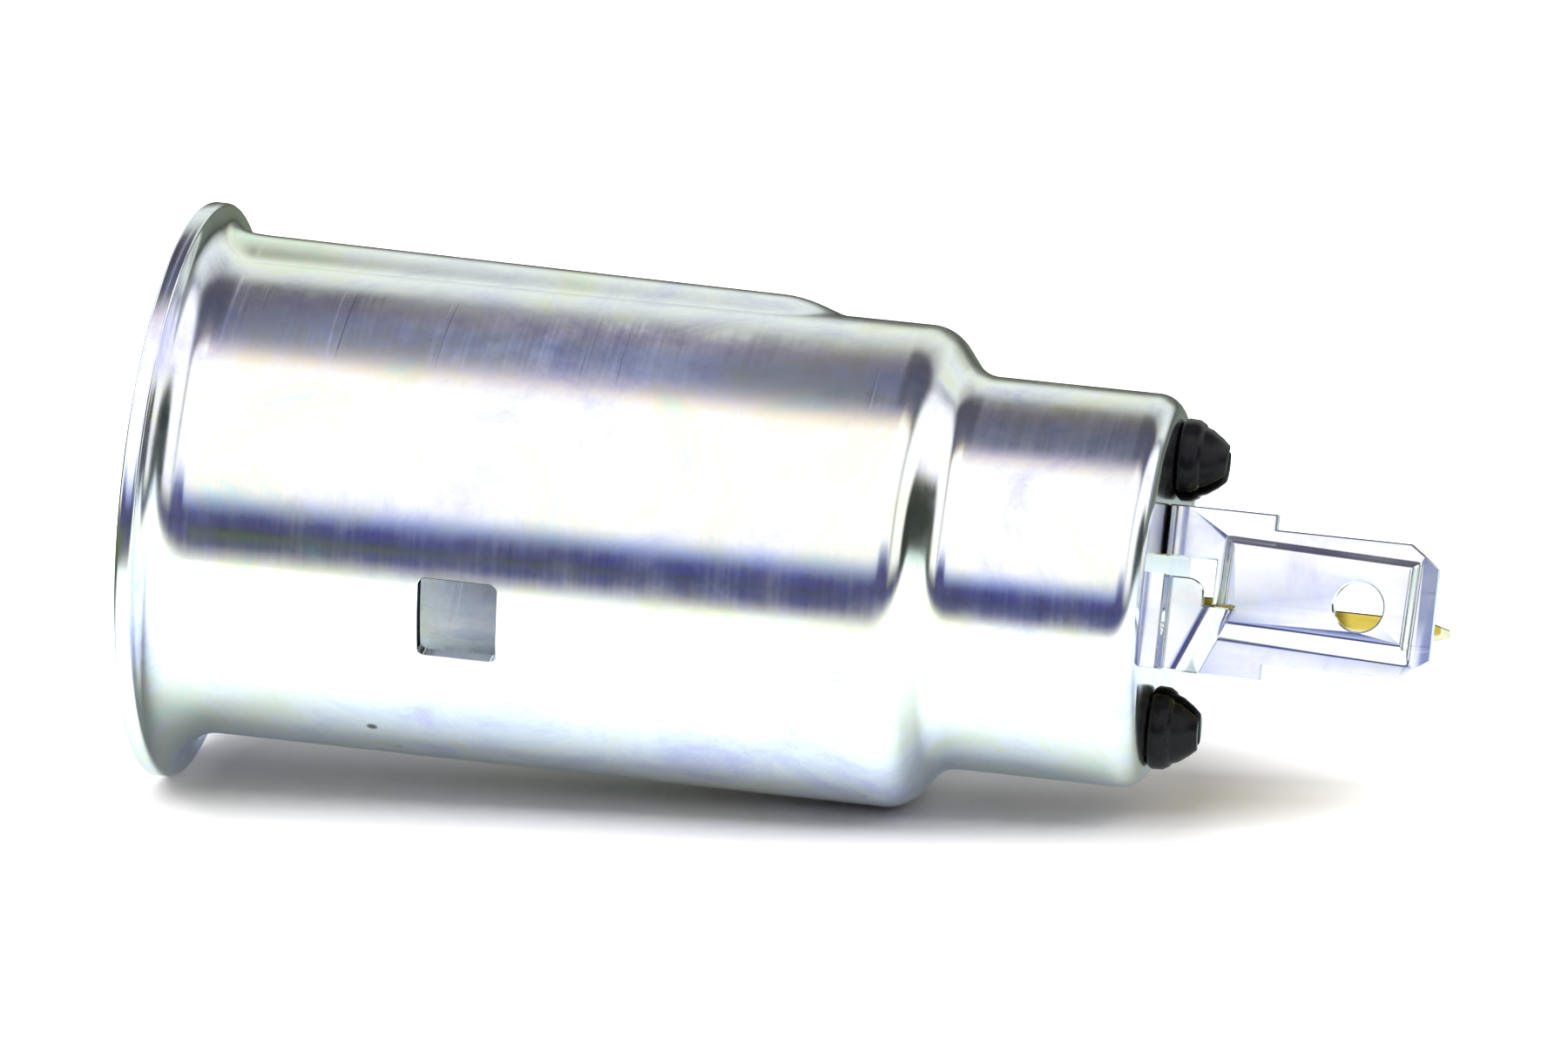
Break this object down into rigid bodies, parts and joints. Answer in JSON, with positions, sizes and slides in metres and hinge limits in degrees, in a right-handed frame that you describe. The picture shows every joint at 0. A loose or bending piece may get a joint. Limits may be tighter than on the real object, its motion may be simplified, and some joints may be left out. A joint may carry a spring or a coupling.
{
  "type": "car 12v power socket",
  "caption": "Drawn steel car power socket with a flared mouth, clip windows, a key rib, a snapped-in black insulator and flat terminal tabs.",
  "frame": {"origin": "centre of the mouth, on the plane of the rim's front face", "axes": "+Z along the barrel's axis from the mouth to the terminals, +Y the way the flat of the steel ground terminal faces, +X along that terminal's width"},
  "size_m": [0.0272, 0.0272, 0.0598],
  "materials": {
    "zinc_steel": "bright zinc plate, blue passivated, faint drawing lines",
    "black_moulding": "moulded, satin",
    "terminal_steel": "bright plated, stamped",
    "terminal_brass": "bright, stamped",
    "spring_brass": "rolled spring strip, satin",
    "rivet_brass": "turned, satin"
  },
  "bodies": {
    "root": {"shell": "zinc_steel", "insulator": "black_moulding", "ground_terminal": "terminal_steel", "positive_terminal": "terminal_brass", "contact_spring": "spring_brass", "contact_rivet": "rivet_brass"}
  },
  "joints": []
}
